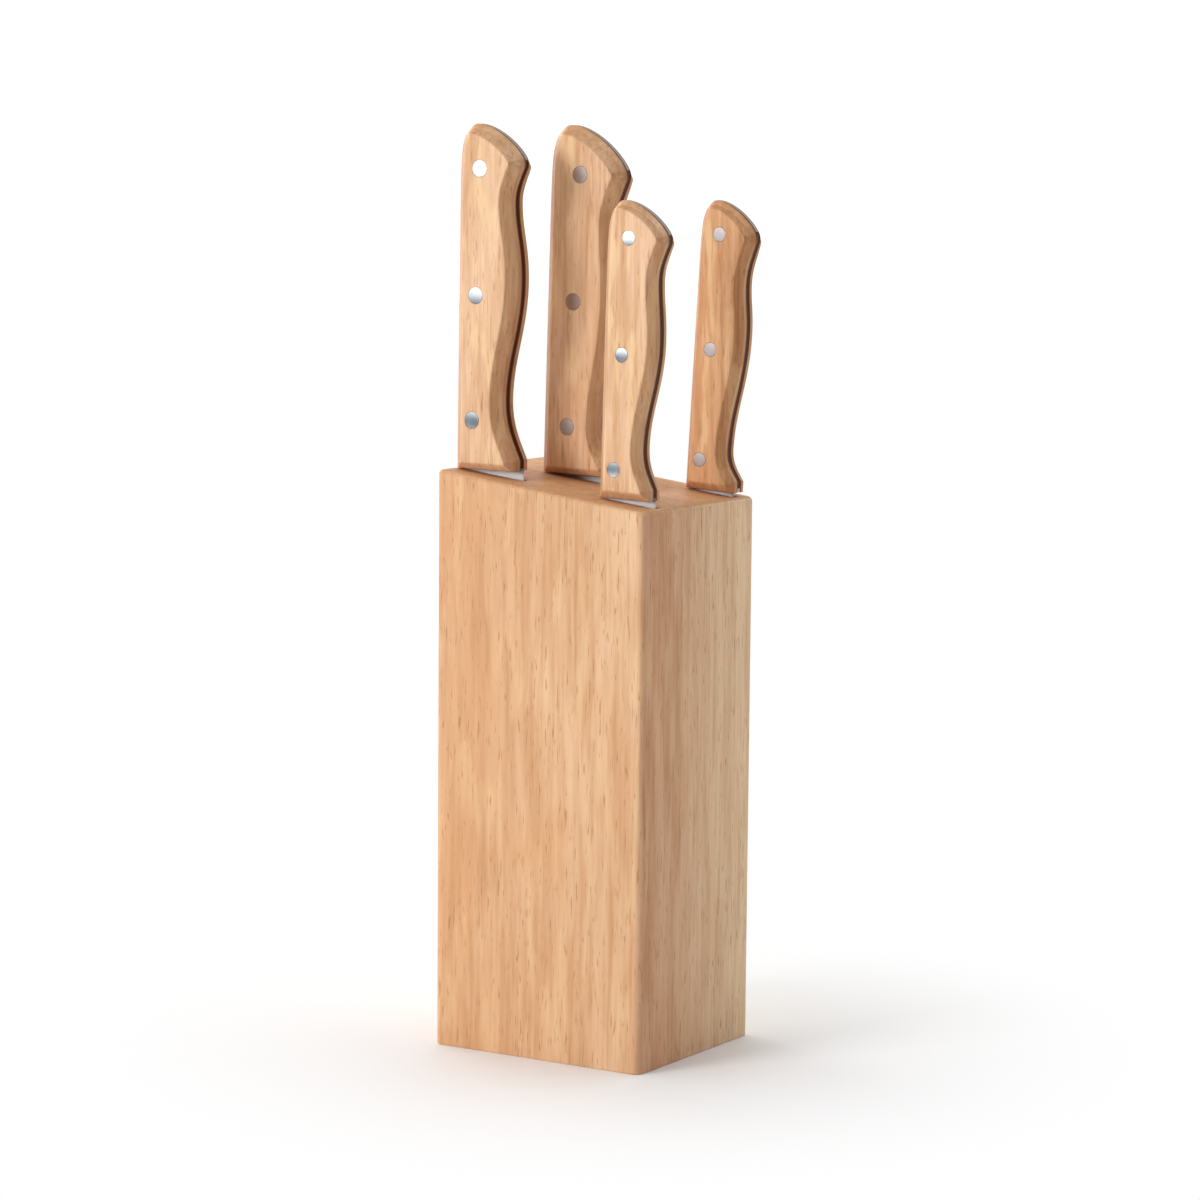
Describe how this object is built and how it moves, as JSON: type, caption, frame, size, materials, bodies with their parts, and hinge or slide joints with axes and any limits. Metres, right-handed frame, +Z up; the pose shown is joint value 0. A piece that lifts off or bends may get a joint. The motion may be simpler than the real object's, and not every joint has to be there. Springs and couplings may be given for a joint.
{
  "type": "knife block with knives",
  "caption": "Upright wooden block with a slanting top and full-tang kitchen knives with riveted wooden handles that lift out of its slots.",
  "frame": {"origin": "centre of the block's base, on the surface it stands on", "axes": "+Z up, along the blades; +X across the wide face, from the knives' spines to their cutting edges; -Y the wide front face with the carving knife and the utility knife behind it"},
  "size_m": [0.0933, 0.0776, 0.3345],
  "materials": {
    "block_wood": "fine-sanded, matt, oiled light hardwood with upright grain",
    "handle_wood": "satin, light hardwood with grain along the handle",
    "blade_steel": "fine satin ground",
    "rivet_metal": "polished, slightly domed"
  },
  "bodies": {
    "block": {"front_board": "block_wood", "second_board": "block_wood", "third_board": "block_wood", "back_board": "block_wood", "front_strip_1": "block_wood", "front_strip_2": "block_wood", "front_strip_3": "block_wood", "middle_strip_1": "block_wood", "middle_strip_2": "block_wood", "back_strip_1": "block_wood", "back_strip_2": "block_wood", "carving_knife_slot_floor": "block_wood", "utility_knife_slot_floor": "block_wood", "chef_knife_slot_floor": "block_wood", "paring_knife_slot_floor": "block_wood"},
    "carving_knife": {"carving_knife_blade": "blade_steel", "carving_knife_front_scale": "handle_wood", "carving_knife_back_scale": "handle_wood", "carving_knife_rivet_1": "rivet_metal", "carving_knife_rivet_2": "rivet_metal", "carving_knife_rivet_3": "rivet_metal"},
    "chef_knife": {"chef_knife_blade": "blade_steel", "chef_knife_front_scale": "handle_wood", "chef_knife_back_scale": "handle_wood", "chef_knife_rivet_1": "rivet_metal", "chef_knife_rivet_2": "rivet_metal", "chef_knife_rivet_3": "rivet_metal"},
    "utility_knife": {"utility_knife_blade": "blade_steel", "utility_knife_front_scale": "handle_wood", "utility_knife_back_scale": "handle_wood", "utility_knife_rivet_1": "rivet_metal", "utility_knife_rivet_2": "rivet_metal", "utility_knife_rivet_3": "rivet_metal"},
    "paring_knife": {"paring_knife_blade": "blade_steel", "paring_knife_front_scale": "handle_wood", "paring_knife_back_scale": "handle_wood", "paring_knife_rivet_1": "rivet_metal", "paring_knife_rivet_2": "rivet_metal", "paring_knife_rivet_3": "rivet_metal"}
  },
  "joints": [
    {"name": "carving_knife_lift", "type": "slide", "parent": "block", "child": "carving_knife", "axis": [0, 0, 1], "range_m": [0, 0.2]},
    {"name": "chef_knife_lift", "type": "slide", "parent": "block", "child": "chef_knife", "axis": [0, 0, 1], "range_m": [0, 0.19]},
    {"name": "utility_knife_lift", "type": "slide", "parent": "block", "child": "utility_knife", "axis": [0, 0, 1], "range_m": [0, 0.145]},
    {"name": "paring_knife_lift", "type": "slide", "parent": "block", "child": "paring_knife", "axis": [0, 0, 1], "range_m": [0, 0.105]}
  ]
}
